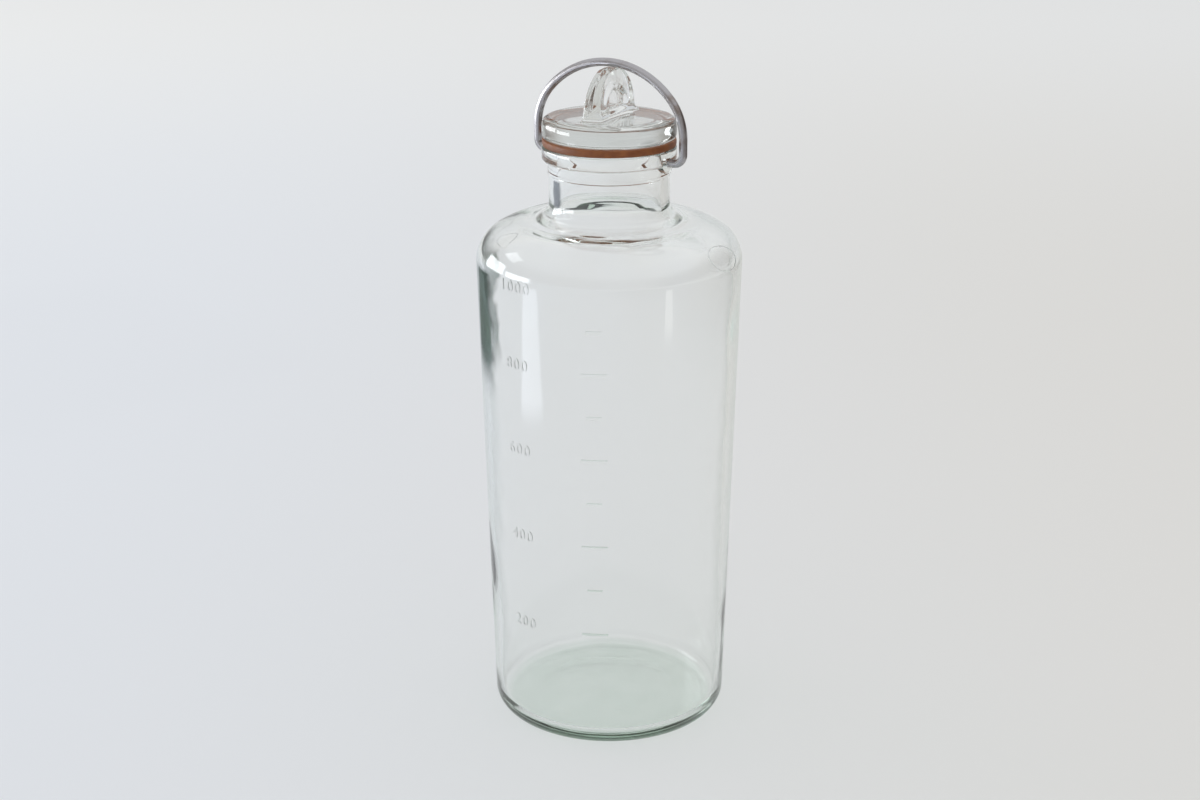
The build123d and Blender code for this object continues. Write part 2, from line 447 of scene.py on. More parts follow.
@dataclass(frozen=True)
class GlassFinish:
    """Clear glass, faintly green in its depth, with smears, an uneven skin and painted shade at its grazing
    edges.
    """

    name: str
    tint: Color = (0.994, 0.995, 0.994)
    depth_tint: Color = (0.60, 0.76, 0.64)
    depth_density: float = 11.0
    bending: float = 1.52
    # Painted shade: the colour darkens towards the grazing edges.
    painted_edge_shade: Color = (0.62, 0.67, 0.645)
    edge_fade: Span = (0.60, 0.92)
    neck_rise: Span = (0.180, 0.187)
    neck_reach: Span = (0.034, 0.028)
    # Deeper green of the thick heel, partly painted shade.
    heel_depth_and_shade: Color = (0.16, 0.25, 0.19)
    heel_reach: Span = (0.0405, 0.0420)
    heel_rise: Span = (0.0080, 0.0040)
    wave_scale: float = 90.0
    wave_reach: float = 0.1
    # Deeper green of the thick floor, partly painted shade of the paper seen through it.
    floor_depth_and_shade: Color = (0.77, 0.835, 0.79)
    floor_patches: Span = (0.5, 1.0)
    floor_reach: Span = (0.0405, 0.0390)
    floor_rise: Span = (0.0065, 0.0055)
    # Painted shade: a dark streak at the grazing edge on one side, from below the shoulder up to it.
    shaded_side_azimuth: float | None = None
    painted_streak_shade: Color = (0.030, 0.052, 0.042)
    shade_streak_fade: Span = (0.54, 0.62)
    shade_streak_side: Span = (0.024, 0.042)
    shade_streak_foot: Span = (0.128, 0.144)
    shade_streak_head: Span = (0.180, 0.177)
    # Painted reflection: a dark strip down the front of the neck on that side.
    painted_neck_reflection: Color = (0.075, 0.085, 0.10)
    neck_reflection_fade: Span = (0.40, 0.46)
    neck_reflection_end: Span = (0.64, 0.58)
    neck_reflection_side: Span = (0.010, 0.016)
    neck_reflection_reach: Span = (0.0203, 0.0208)
    neck_reflection_foot: Span = (0.1960, 0.2000)
    neck_reflection_head: Span = (0.2090, 0.2080)
    smear_scale: float = 70.0
    smear_rough: float = 0.035
    skin_scale: float = 55.0
    skin_height: float = 0.00012
    shadow_tint: Color = (0.985, 0.99, 0.985)

    def material(self) -> Material:
        """Build the finish.

        Returns:
            The glass, which lets the light of the room through to the floor and the rubber.
        """
        wiring = FinishWiring(self.name)
        weight = wiring.add("ShaderNodeLayerWeight")
        wiring.put(weight, {"Blend": 0.5})
        grazing = weight.outputs["Facing"]
        # Painted shade: the colour darkens where the surface turns away from the eye.
        color = wiring.mixed(wiring.eased(grazing, *self.edge_fade), self.tint, self.painted_edge_shade)
        if self.shaded_side_azimuth is not None:
            color = self.depth_and_painted_shade(wiring, grazing, color)
        smears = wiring.mottle(self.smear_scale, 5, 0.5, 0.75)
        rough = wiring.between(smears.outputs["Mask"], 0, self.smear_rough)
        glass = {"Base Color": color, "Transmission Weight": 1, "IOR": self.bending, "Roughness": rough}
        wiring.put(wiring.shader, glass)
        skin = wiring.mottle(self.skin_scale, 1, 0, 1)
        wiring.bump(skin.outputs["Fine"], self.skin_height)
        clear = wiring.add("ShaderNodeBsdfTransparent")
        wiring.put(clear, {"Color": (*self.shadow_tint, 1)})
        path = wiring.add("ShaderNodeLightPath")
        soft_light = wiring.math("MAXIMUM", path.outputs["Is Shadow Ray"], path.outputs["Is Diffuse Ray"])
        depth = wiring.add("ShaderNodeVolumeAbsorption")
        wiring.put(depth, {"Color": (*self.depth_tint, 1), "Density": self.depth_density})
        wiring.put(wiring.output, {"Volume": depth.outputs["Volume"]})
        return wiring.finished(wiring.either(soft_light, wiring.shader, clear))

    def depth_and_painted_shade(
        self, wiring: FinishWiring, grazing: NodeSocket, color: NodeSocket
    ) -> NodeSocket:
        """Deepen the heel and floor's green with painted shade; paint a shade streak below the shoulder and
        a dark reflection in the neck.

        Args:
            wiring: The finish that is being built.
            grazing: How far the surface turns away from the eye.
            color: The glass's colour so far.

        Returns:
            The colour with the darker places.
        """
        spot = wiring.add("ShaderNodeSeparateXYZ")
        wiring.put(spot, {"Vector": wiring.place})
        height = spot.outputs["Z"]
        squares = [wiring.math("MULTIPLY", spot.outputs[axis], spot.outputs[axis]) for axis in ("X", "Y")]
        radius = wiring.math("SQRT", wiring.math("ADD", *squares))
        side = wiring.along(outward(self.shaded_side_azimuth))
        entering = wiring.math("SUBTRACT", 1.0, wiring.add("ShaderNodeNewGeometry").outputs["Backfacing"])
        waves = wiring.mottle(self.wave_scale, 2, 0, 1).outputs["Fine"]
        uneven = wiring.math("ADD", grazing, wiring.between(waves, -self.wave_reach, self.wave_reach))
        # Clears the painted edge shade from the neck.
        neck = wiring.both(wiring.eased(height, *self.neck_rise), wiring.eased(radius, *self.neck_reach))
        # The heel: deeper green of thick glass, partly painted shade.
        heel = wiring.both(
            entering, wiring.eased(radius, *self.heel_reach), wiring.eased(height, *self.heel_rise)
        )
        # The floor: deeper green of thick glass, partly painted shade of the paper beneath.
        floor = wiring.both(
            wiring.between(waves, *self.floor_patches),
            wiring.eased(radius, *self.floor_reach),
            wiring.eased(height, *self.floor_rise),
        )
        # Painted shade: a dark streak at the grazing edge on that side.
        shade_streak = wiring.both(
            wiring.eased(uneven, *self.shade_streak_fade),
            wiring.eased(side, *self.shade_streak_side),
            wiring.eased(height, *self.shade_streak_foot),
            wiring.eased(height, *self.shade_streak_head),
        )
        # Painted reflection: a dark strip on the neck.
        neck_reflection = wiring.both(
            wiring.eased(uneven, *self.neck_reflection_fade),
            wiring.eased(uneven, *self.neck_reflection_end),
            wiring.eased(side, *self.neck_reflection_side),
            entering,
            wiring.eased(radius, *self.neck_reflection_reach),
            wiring.eased(height, *self.neck_reflection_foot),
            wiring.eased(height, *self.neck_reflection_head),
        )
        places = (
            (neck, self.tint),
            (heel, self.heel_depth_and_shade),
            (floor, self.floor_depth_and_shade),
            (shade_streak, self.painted_streak_shade),
            (neck_reflection, self.painted_neck_reflection),
        )
        for mask, tint in places:
            color = wiring.mixed(mask, color, tint)
        return color


@dataclass(frozen=True)
class RubberFinish:
    """Matt natural rubber with a slight bloom."""

    name: str
    deep: Color = (0.20, 0.056, 0.010)
    pale: Color = (0.30, 0.100, 0.026)
    patch_scale: float = 260.0
    grain_scale: float = 2600.0
    rough: Span = (0.5, 0.72)
    grain_height: float = 0.00006

    def material(self) -> Material:
        """Build the finish."""
        wiring = FinishWiring(self.name)
        patches = wiring.mottle(self.patch_scale, 4, 0.35, 0.75)
        grain = wiring.mottle(self.grain_scale, 2, 0.3, 0.7)
        color = wiring.mixed(patches.outputs["Mask"], self.deep, self.pale)
        rough = wiring.between(patches.outputs["Mask"], *self.rough)
        wiring.put(wiring.shader, {"Base Color": color, "Roughness": rough})
        wiring.bump(grain.outputs["Fine"], self.grain_height)
        return wiring.finished()


@dataclass(frozen=True)
class SteelFinish:
    """Satin drawn wire with fine lines along it and a faint brown tarnish."""

    name: str
    bright: Color = (0.42, 0.41, 0.425)
    tarnish: Color = (0.24, 0.19, 0.16)
    tarnish_scale: float = 120.0
    line_scale: float = 1.0
    rough: Span = (0.2, 0.36)
    line_height: float = 0.00003

    def material(self) -> Material:
        """Build the finish."""
        wiring = FinishWiring(self.name)
        stains = wiring.mottle(self.tarnish_scale, 4, 0.5, 0.8)
        color = wiring.mixed(stains.outputs["Mask"], self.bright, self.tarnish)
        along = wiring.add("ShaderNodeTexCoord").outputs["UV"]
        lines = wiring.mottle(self.line_scale, 2, 0.3, 0.7, along)
        rough = wiring.between(lines.outputs["Mask"], *self.rough)
        wiring.put(wiring.shader, {"Metallic": 1, "Base Color": color, "Roughness": rough})
        wiring.bump(lines.outputs["Fine"], self.line_height)
        return wiring.finished()


@dataclass(frozen=True)
class PaperFinish:
    """Pale matt paper of the studio floor, its colour carrying painted light: bluish towards the window,
    warmer on the other side, lighter far away.
    """

    name: str
    # Painted light in the paper's colour: bluish towards the window, warmer on the other side and lighter
    # far away.
    cool_window_light: Color = (0.805, 0.83, 0.87)
    warm_side_light: Color = (0.80, 0.79, 0.765)
    far: Color = (0.885, 0.89, 0.885)
    light_tint_reach: float = 0.35
    far_light_fade: Span = (0.4, 1.9)

    def material(self, right: Vector, forward: Vector) -> Material:
        """Build the finish.

        Args:
            right: Level direction to the camera's right.
            forward: Level direction in which the camera looks.

        Returns:
            The paper.
        """
        wiring = FinishWiring(self.name)
        # Painted light: the colour goes from the bluish window side to the warmer side, then lightens far
        # away.
        sideways = wiring.eased(wiring.along(right), -self.light_tint_reach, self.light_tint_reach)
        tint = wiring.mixed(sideways, self.cool_window_light, self.warm_side_light)
        ahead = wiring.eased(wiring.along(forward), *self.far_light_fade)
        color = wiring.mixed(ahead, tint, self.far)
        wiring.put(wiring.shader, {"Base Color": color, "Roughness": 0.9, "Specular IOR Level": 0.1})
        return wiring.finished()


@dataclass(frozen=True)
class CardFinish:
    """Plain card, bright or dark, that only mirrors in the glass and the wire."""

    name: str
    color: Color
    strength: float
    edge_fade: Span = (0.5, 0.3)

    def material(self) -> Material:
        """Build the finish, even over the card's middle and fading out at its edges."""
        wiring = FinishWiring(self.name)
        corner = wiring.add("ShaderNodeSeparateXYZ")
        wiring.put(corner, {"Vector": wiring.add("ShaderNodeTexCoord").outputs["UV"]})
        edges = []
        for axis in ("X", "Y"):
            middle = wiring.math("SUBTRACT", corner.outputs[axis], 0.5)
            edges.append(wiring.eased(wiring.math("ABSOLUTE", middle), *self.edge_fade))
        glow = wiring.both(*edges)
        light = wiring.mixed(glow, (0, 0, 0), self.color)
        card = {"Base Color": (0, 0, 0, 1), "Emission Strength": self.strength, "Emission Color": light}
        wiring.put(wiring.shader, card)
        clear = wiring.add("ShaderNodeBsdfTransparent")
        return wiring.finished(wiring.either(glow, clear, wiring.shader))


@dataclass
class Bottle:
    """The blown bottle: a turned wall of glass with raised marks, a collar and two dimples for the bail."""

    foot_radius: float = 0.0442
    heel_radius: float = 0.0070
    shoulder_radius: float = 0.0486
    shoulder_height: float = 0.1775
    shoulder_rise: float = 0.015476
    side_radius: float = 0.0129956
    wall: float = 0.0028
    floor_thickness: float = 0.0042
    floor_dome: float = 0.0006
    inner_heel_radius: float = 0.0050
    push_up: float = 0.0010
    bearing_width: float = 0.0075
    neck_radius: float = 0.0219
    neck_foot_radius: float = 0.0055
    bore_radius: float = 0.0188
    bore_foot_radius: float = 0.0060
    finish_step: float = 0.00035
    finish_depth: float = 0.0104
    collar_radius: float = 0.0244
    collar_height: float = 0.0056
    collar_round: float = 0.0015
    rim_round: float = 0.0008
    pivot_depth: float = 0.0042
    dimple_radius: float = 0.00175
    dimple_depth: float = 0.0032
    lug_radius: float = 0.00385
    lug_sink: float = 0.00002
    lug_step: float = 0.7
    tick_step_volume: float = 0.0001
    first_tick: float = 0.0468
    tick_width: float = 0.0013
    tick_relief: float = 0.00055
    tick_azimuth: float = 23.5
    numeral_azimuth: float = -13.5
    numeral_height: float = 0.0044
    numeral_relief: float = 0.0002
    numeral_scale: float = 1.35
    numeral_root: float = 1.3
    numeral_sink: float = 0.3
    numeral_gap: float = 1.25
    numeral_step: int = 200
    ring_mark_width: float = 0.0172
    ring_mark_height: float = 0.0100
    ring_mark_tilt: float = -14.0
    ring_mark_slope: float = 29.0
    ring_mark_wire: float = 0.00042
    ring_mark_sink: float = 0.00034
    around: int = 256
    foot_blend: int = 18
    wave_height: float = 0.00022
    wave_scale: float = 38.0
    wave_stretch: float = 0.6
    wave_rise: Span = (0.012, 0.03)
    fine_share: float = 0.35
    fine_scale: float = 2.2
    skin_wave_height: float = 0.00003
    gather: float = 0.0004
    gather_rise: Span = (0.115, 0.168)
    gather_ripple: float = 0.0006
    ripple_scale: float = 48.0

    def __post_init__(self) -> None:
        """Work out the heights, the wall's lean and the shoulder's crown."""
        self.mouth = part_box("bottle")[1].z
        self.shoulder_top = self.shoulder_height + self.shoulder_rise
        self.collar_base = self.mouth - self.collar_height
        self.finish_base = self.mouth - self.finish_depth
        self.pivot = self.mouth - self.pivot_depth
        self.heel_x = self.foot_radius - self.heel_radius
        self.side_x = self.shoulder_radius - self.side_radius
        run, rise = self.side_x - self.heel_x, self.shoulder_height - self.heel_radius
        self.lean = atan2(run, rise) + asin((self.side_radius - self.heel_radius) / hypot(run, rise))
        self.crown_x = self.neck_radius + self.neck_foot_radius
        run = self.shoulder_radius - self.crown_x
        self.crown_radius = (run**2 + self.shoulder_rise**2 - 2 * run * self.side_radius) / (
            2 * (self.shoulder_rise - self.side_radius)
        )
        self.side_turn = atan2(self.crown_radius - self.shoulder_rise, run - self.side_radius)

    def wall_radius(self, height: float) -> float:
        """Outer radius of the straight wall at a height."""
        touch = self.shoulder_height - self.side_radius * sin(self.lean)
        widest = self.side_x + self.side_radius * cos(self.lean)
        return widest - (touch - height) * sin(self.lean) / cos(self.lean)

    def draw_outside(self, outline: Outline) -> None:
        """Draw from the push-up's middle round the outside to the rim."""
        degree = 180 / pi
        outline.bow(self.heel_x - self.bearing_width, 0, self.push_up / 4, 10)
        outline.line(self.heel_x, 0, 2)
        outline.arc(self.heel_x, self.heel_radius, 90 - self.lean * degree, 14)
        side_end = self.shoulder_height - self.side_radius * sin(self.lean)
        outline.line(self.side_x + self.side_radius * cos(self.lean), side_end, 34)
        outline.arc(self.side_x, self.shoulder_height, (self.lean + self.side_turn) * degree, 16)
        outline.arc(self.crown_x, self.shoulder_top - self.crown_radius, 90 - self.side_turn * degree, 14)
        outline.arc(self.crown_x, self.shoulder_top + self.neck_foot_radius, -90, 12)
        outline.line(self.neck_radius, self.finish_base, 5)
        outline.line(self.neck_radius + self.finish_step, self.finish_base + self.finish_step)
        outline.line(self.neck_radius + self.finish_step, self.collar_base, 2)
        outline.line(self.collar_radius - self.collar_round, self.collar_base)
        outline.arc(self.collar_radius - self.collar_round, self.collar_base + self.collar_round, 90, 6)
        outline.line(self.collar_radius, self.mouth - self.rim_round, 2)
        outline.arc(self.collar_radius - self.rim_round, self.mouth - self.rim_round, 90, 4)

    def draw_inside(self, outline: Outline) -> None:
        """Draw from the rim down the bore and round the hollow to the floor's middle."""
        degree = 180 / pi
        inner_side = self.side_radius - self.wall
        offset = inner_side - self.inner_heel_radius
        heel_height = self.floor_thickness + self.inner_heel_radius
        slide = (self.shoulder_height - offset * sin(self.lean) - heel_height) / cos(self.lean)
        heel_x = self.side_x + offset * cos(self.lean) - slide * sin(self.lean)
        outline.line(self.bore_radius + self.rim_round, self.mouth, 2)
        outline.arc(self.bore_radius + self.rim_round, self.mouth - self.rim_round, 90, 4)
        foot_top = self.shoulder_top - self.wall + self.bore_foot_radius
        outline.line(self.bore_radius, foot_top, 8)
        outline.arc(self.bore_radius + self.bore_foot_radius, foot_top, 90, 12)
        outline.line(self.crown_x, self.shoulder_top - self.wall)
        outline.arc(self.crown_x, self.shoulder_top - self.crown_radius, self.side_turn * degree - 90, 14)
        outline.arc(self.side_x, self.shoulder_height, -(self.lean + self.side_turn) * degree, 16)
        low_x = heel_x + self.inner_heel_radius * cos(self.lean)
        outline.line(low_x, heel_height - self.inner_heel_radius * sin(self.lean), 40)
        outline.arc(heel_x, heel_height, self.lean * degree - 90, 14)
        outline.bow(0, self.floor_thickness + self.floor_dome, self.floor_dome / 4, 12)

    def blow(self, shape: BMesh) -> None:
        """Make the wall uneven, as blown glass is, and thicker under the shoulder.

        Args:
            shape: The turned wall.
        """
        for vert in shape.verts:
            radius = hypot(vert.co.x, vert.co.y)
            on_wall = self.heel_radius < vert.co.z < self.shoulder_top - self.wall / 2
            if not on_wall or radius < self.crown_x:
                continue
            side = Vector((vert.co.x, vert.co.y, 0)).normalized()
            faces_in = vert.normal.dot(side) < 0 or vert.normal.z < -0.5
            drawn = Vector((vert.co.x, vert.co.y, vert.co.z * self.wave_stretch))
            swell = noise.noise(drawn * self.wave_scale)
            fine = noise.noise(vert.co * self.wave_scale * self.fine_scale)
            ends = smooth_step(*self.wave_rise, vert.co.z)
            if faces_in:
                ripple = noise.noise(vert.co * self.ripple_scale)
                gathered = smooth_step(*self.gather_rise, vert.co.z)
                thicker = gathered * (self.gather + self.gather_ripple * ripple)
                waves = self.wave_height * (swell + self.fine_share * fine)
                vert.co += vert.normal * ends * (waves + thicker)
            else:
                vert.co += vert.normal * ends * self.skin_wave_height * swell

    def tick(self, shape: BMesh, height: float, kind: Tick) -> None:
        """Add one raised tick, a half-round ridge along the wall.

        Args:
            shape: The mesh that gathers the marks.
            height: Height of the tick.
            kind: How long it is.
        """
        radius = self.wall_radius(height)
        span = kind.value / radius
        ring = bmesh.ops.create_circle(shape, cap_ends=True, segments=12, radius=1)["verts"]
        bmesh.ops.scale(shape, verts=ring, vec=(self.tick_relief, self.tick_width / 2, 1))
        rotate(shape, ring, pi / 2, "X")
        bmesh.ops.translate(shape, verts=ring, vec=(radius, 0, height))
        start = radians(self.tick_azimuth) - pi / 2 - span / 2
        rotate(shape, ring, start, "Z")
        drawn = ring + list({edge for vert in ring for edge in vert.link_edges})
        drawn += list({each for vert in ring for each in vert.link_faces})
        bmesh.ops.spin(shape, geom=drawn, cent=(0, 0, 0), axis=UP, angle=span, steps=8)

    def ticks(self, shape: BMesh) -> list[float]:
        """Add the ticks up to the shoulder, a hundred millilitres apart.

        Args:
            shape: The mesh that gathers the marks.

        Returns:
            The heights of the long ticks.
        """
        height, kind, numbered = self.first_tick, Tick.LONG, []
        while height + self.tick_width < self.shoulder_height:
            self.tick(shape, height, kind)
            if kind is Tick.LONG:
                numbered.append(height)
            height += self.tick_step_volume / (pi * (self.wall_radius(height) - self.wall) ** 2)
            kind = Tick.SHORT if kind is Tick.LONG else Tick.LONG
        return numbered

    def numeral(self, shape: BMesh, text: str, height: float) -> None:
        """Add one raised number, bent round the wall.

        Args:
            shape: The mesh that gathers the marks.
            text: The number.
            height: Height of the number's middle.
        """
        words = bpy.data.curves.new("numeral", "FONT")
        words.body, words.size = text, self.numeral_height * self.numeral_scale
        words.align_x, words.align_y = "CENTER", "CENTER"
        words.extrude, words.space_character = self.numeral_relief * self.numeral_root, self.numeral_gap
        words.resolution_u = 5
        flat = baked_mesh(loose_object("numeral", words))
        known = set(shape.verts)
        shape.from_mesh(flat)
        bpy.data.meshes.remove(flat)
        added = [vert for vert in shape.verts if vert not in known]
        bmesh.ops.remove_doubles(shape, verts=added, dist=self.numeral_relief * 0.02)
        radius = self.wall_radius(height)
        for vert in (each for each in shape.verts if each not in known):
            azimuth = self.numeral_azimuth + vert.co.x / radius * 180 / pi
            root = self.wall_radius(height + vert.co.y) - self.numeral_relief * self.numeral_sink
            reach = root + vert.co.z
            vert.co = outward(azimuth) * reach + UP * (height + vert.co.y)

    def shoulder_point(self, azimuth: float, slope: float) -> Vector:
        """Point just under the shoulder's side round, where slope is the normal's tilt in degrees."""
        radius = self.side_radius - self.ring_mark_sink
        reach = self.side_x + radius * cos(radians(slope))
        return outward(azimuth) * reach + UP * (self.shoulder_height + radius * sin(radians(slope)))

    def ring_mark(self, shape: BMesh, azimuth: float) -> None:
        """Add one raised oval on the shoulder.

        Args:
            shape: The mesh that gathers the marks.
            azimuth: Direction in which the oval's middle lies.
        """
        path = bpy.data.curves.new("ring_mark", "CURVE")
        path.dimensions, path.bevel_depth, path.bevel_resolution = "3D", self.ring_mark_wire, 2
        points = 72
        spline = path.splines.new("POLY")
        spline.points.add(points - 1)
        spline.use_cyclic_u = True
        tilt = radians(self.ring_mark_tilt)
        reach = self.side_x + self.side_radius * cos(radians(self.ring_mark_slope))
        for index, point in enumerate(spline.points):
            turn = tau * index / points
            wide, high = self.ring_mark_width / 2 * cos(turn), self.ring_mark_height / 2 * sin(turn)
            along = wide * cos(tilt) - high * sin(tilt)
            upward = wide * sin(tilt) + high * cos(tilt)
            slope = self.ring_mark_slope + upward / self.side_radius * 180 / pi
            place = self.shoulder_point(azimuth + along / reach * 180 / pi, slope)
            point.co = (*place, 1)
        tube = baked_mesh(loose_object("ring_mark", path))
        shape.from_mesh(tube)
        bpy.data.meshes.remove(tube)

    def lug(self, shape: BMesh, facing: int) -> None:
        """Add the rounded lug under the collar that holds one dimple.

        Args:
            shape: The mesh that gathers the marks.
            facing: 1 for the lug on +X and -1 for the one on -X.
        """
        root = (self.bore_radius + self.neck_radius) / 2
        ring = bmesh.ops.create_circle(shape, cap_ends=True, segments=48, radius=self.lug_radius)["verts"]
        rotate(shape, ring, pi / 2, "Y")
        bmesh.ops.translate(shape, verts=ring, vec=(facing * root, 0, self.pivot))
        edges = list({edge for vert in ring for edge in vert.link_edges})
        made = bmesh.ops.extrude_edge_only(shape, edges=edges)["geom"]
        skirt = of_kind(made, BMVert)
        self.lay_on_collar(skirt, facing)
        for _ in range(4):
            edges = {edge for vert in skirt for edge in vert.link_edges if edge.is_boundary}
            made = bmesh.ops.extrude_edge_only(shape, edges=list(edges))["geom"]
            skirt = of_kind(made, BMVert)
            for vert in skirt:
                vert.co.y *= self.lug_step
                vert.co.z = self.pivot + (vert.co.z - self.pivot) * self.lug_step
            self.lay_on_collar(skirt, facing)
        edges = {edge for vert in skirt for edge in vert.link_edges if edge.is_boundary}
        bmesh.ops.edgeloop_fill(shape, edges=list(edges))

    def lay_on_collar(self, verts: list[BMVert], facing: int) -> None:
        """Move vertices along X to just inside the collar's side."""
        for vert in verts:
            vert.co.x = facing * (sqrt(self.collar_radius**2 - vert.co.y**2) - self.lug_sink)

    def dimples(self) -> Mesh:
        """Pins that the two dimples are cut with."""
        shape = bmesh.new()
        for facing in (1, -1):
            length = 2 * self.dimple_depth
            middle = self.collar_radius - self.dimple_depth + length / 2
            place = Matrix.Translation((facing * middle, 0, self.pivot)) @ Matrix.Rotation(pi / 2, 4, "Y")
            bmesh.ops.create_cone(
                shape,
                cap_ends=True,
                segments=48,
                radius1=self.dimple_radius,
                radius2=self.dimple_radius,
                depth=length,
                matrix=place,
            )
        return to_mesh("dimples", shape)

    def build(self, glass: GlassFinish) -> Object:
        """Build and dress the bottle.

        Args:
            glass: Its finish.

        Returns:
            The piece.
        """
        outline = Outline(0, self.push_up)
        self.draw_outside(outline)
        self.draw_inside(outline)
        low, high = self.shoulder_top - self.wall * 1.5, self.shoulder_top + self.neck_foot_radius
        outline.soften(low, high, self.crown_x + self.neck_foot_radius, self.foot_blend)
        shape = outline.turned(self.around)
        self.blow(shape)
        wall = to_mesh("wall", shape)
        marks = bmesh.new()
        numbered = self.ticks(marks)
        last_number = self.shoulder_height - self.tick_width
        for index, height in enumerate([*numbered, last_number]):
            self.numeral(marks, str(self.numeral_step * (index + 1)), height)
        for azimuth in (90, -90):
            self.ring_mark(marks, azimuth)
        for facing in (1, -1):
            self.lug(marks, facing)
        bmesh.ops.recalc_face_normals(marks, faces=marks.faces)
        mesh = joined(wall, to_mesh("marks", marks), Joining.ADD)
        mesh = joined(mesh, self.dimples(), Joining.CUT)
        shade(mesh, 35)
        return dressed_piece("glass_bottle", mesh, glass.material(), Body.JAR, "bottle")


@dataclass
class SealingRing:
    """The flat rubber ring that the lid presses on the rim."""

    round: float = 0.0004
    bulge: float = 0.0001
    bore_gap: float = 0.0002
    around: int = 192

    def build(self, rubber: RubberFinish, bore_radius: float) -> Object:
        """Build and dress the ring.

        Args:
            rubber: Its finish.
            bore_radius: Radius of the bottle's bore, which the ring clears.

        Returns:
            The piece.
        """
        low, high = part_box("sealing_ring")
        outer, inner = high.x, bore_radius + self.bore_gap
        outline = Outline(inner + self.round, low.z)
        outline.line(outer - self.round - self.bulge, low.z, 3)
        outline.arc(outer - self.round - self.bulge, low.z + self.round, 90, 5)
        outline.bow(outer - self.bulge, high.z - self.round, -self.bulge, 4)
        outline.arc(outer - self.round - self.bulge, high.z - self.round, 90, 5)
        outline.line(inner + self.round, high.z, 3)
        outline.arc(inner + self.round, high.z - self.round, 90, 5)
        outline.line(inner, low.z + self.round, 2)
        outline.arc(inner + self.round, low.z + self.round, 90, 5)
        mesh = to_mesh("ring", outline.turned(self.around))
        return dressed_piece("rubber_ring", mesh, rubber.material(), Body.JAR, "sealing_ring")


@dataclass
class Bail:
    """The bent wire that turns in the collar's dimples and passes over the fin."""

    wire_radius: float = 0.0015
    peg_bend_radius: float = 0.0035
    leg_rise: float = 0.0087
    arch_side_share: float = 0.84
    peg_tip: float = 0.0215
    tip_round: float = 0.0004
    section: int = 32
    lines_around: float = 14.0
    lines_start: float = 3.0
    lines_along: float = 1.6

    def build(self, steel: SteelFinish, pivot: float) -> Object:
        """Bend half of the wire from its tip to the crown and mirror it.

        Args:
            steel: The wire's finish.
            pivot: Height of the line that the bail turns about.

        Returns:
            The piece.
        """
        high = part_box("bail")[1]
        reach = high.x - self.wire_radius
        base = pivot + self.leg_rise
        rise = high.z - self.wire_radius - base
        side = rise * self.arch_side_share
        crown = (reach**2 + rise**2 - 2 * reach * side) / (2 * (rise - side))
        turn = atan2(crown - rise, reach - side)
        self.shape = bmesh.new()
        ring = bmesh.ops.create_circle(
            self.shape, cap_ends=True, segments=self.section, radius=self.wire_radius
        )["verts"]
        rotate(self.shape, ring, pi / 2, "Y")
        bmesh.ops.translate(self.shape, verts=ring, vec=(self.peg_tip, 0, pivot))
        self.end = self.shape.edges[:]
        tip = self.end
        self.push(reach - self.peg_bend_radius - self.peg_tip, Vector((1, 0, 0)), 4)
        self.bend(reach - self.peg_bend_radius, pivot + self.peg_bend_radius, pi / 2, 14)
        self.push(self.leg_rise - self.peg_bend_radius, UP, 6)
        self.bend(reach - side, base, turn, 36)
        self.bend(0, base + rise - crown, pi / 2 - turn, 28)
        bmesh.ops.bevel(
            self.shape,
            geom=tip,
            offset=self.tip_round,
            segments=3,
            profile=0.5,
            affect="EDGES",
            material=-1,
            offset_type="OFFSET",
        )
        whole = self.shape.verts[:] + self.shape.edges[:] + self.shape.faces[:]
        bmesh.ops.mirror(self.shape, geom=whole, axis="X", merge_dist=self.tip_round / 4)
        bmesh.ops.remove_doubles(self.shape, verts=self.shape.verts, dist=MERGE_GAP * 10)
        bmesh.ops.recalc_face_normals(self.shape, faces=self.shape.faces)
        self.lay_lines(pivot)
        mesh = to_mesh("wire", self.shape)
        return dressed_piece("wire_bail", mesh, steel.material(), Body.BAIL, "bail")

    def push(self, length: float, way: Vector, steps: int) -> None:
        """Extrude the wire's end straight on.

        Args:
            length: How far it goes.
            way: Its direction.
            steps: Number of equal extrusions.
        """
        for _ in range(steps):
            made = bmesh.ops.extrude_edge_only(self.shape, edges=self.end)["geom"]
            verts = of_kind(made, BMVert)
            self.end = [edge for edge in of_kind(made, BMEdge) if edge.is_boundary]
            bmesh.ops.translate(self.shape, verts=verts, vec=way * length / steps)

    def bend(self, x: float, z: float, turn: float, steps: int) -> None:
        """Spin the wire's end about a line along Y.

        Args:
            x: Place of the line along X.
            z: Height of the line.
            turn: Angle in radians, counter-clockwise with X to the right and Z up.
            steps: Number of segments.
        """
        verts = list({vert for edge in self.end for vert in edge.verts})
        made = bmesh.ops.spin(
            self.shape, geom=self.end + verts, cent=(x, 0, z), axis=(0, -1, 0), angle=turn, steps=steps
        )["geom_last"]
        self.end = of_kind(made, BMEdge)

    def lay_lines(self, pivot: float) -> None:
        """Lay a UV map whose first axis goes round the wire and whose second follows it."""
        layer = self.shape.loops.layers.uv.new("wire")
        for face in self.shape.faces:
            for loop in face.loops:
                place = loop.vert.co
                sideways = place.y / self.wire_radius
                height = place.z - pivot
                around = sideways * self.lines_around + self.lines_start
                loop[layer].uv = (around, atan2(height, place.x) * self.lines_along)


